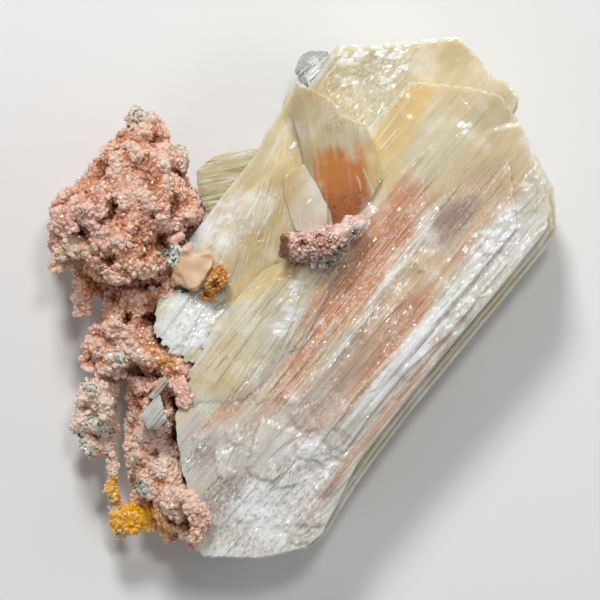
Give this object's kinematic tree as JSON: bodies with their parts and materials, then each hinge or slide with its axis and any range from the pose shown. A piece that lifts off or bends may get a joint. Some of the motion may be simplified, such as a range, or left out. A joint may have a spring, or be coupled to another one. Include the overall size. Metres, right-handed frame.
{
  "type": "stilbite crystal cluster on matrix",
  "caption": "Sheaf of bladed cream and amber stilbite crystals on a branching drusy pink-brown matrix, lying on its flat cut back.",
  "frame": {"origin": "middle of the base of the specimen's bounding box, on the surface that it lies on", "axes": "+Z out of the specimen's face, away from the cut back; +Y up the face; +X to the right of the face"},
  "size_m": [0.0658, 0.0674, 0.0233],
  "materials": {
    "stilbite": "pearly, cream to amber, translucent",
    "clear_crystal": "vitreous, clear to pale green-grey",
    "drusy_knob": "grainy, pink-brown with dark and green grains",
    "pale_scale": "smooth, waxy, pale pink",
    "ochre_druse": "grainy, orange-ochre",
    "matrix": "grainy druse, pink-brown with green and ochre patches"
  },
  "bodies": {
    "root": {"stilbite_sheaf": "stilbite", "side_blade": "clear_crystal", "glassy_tip": "clear_crystal", "small_prism": "clear_crystal", "thin_blade": "clear_crystal", "druse_knob": "drusy_knob", "pale_scale": "pale_scale", "ochre_druse": "ochre_druse", "matrix_crown": "matrix", "matrix_neck": "matrix", "matrix_left_arm": "matrix", "matrix_body": "matrix"}
  },
  "joints": []
}
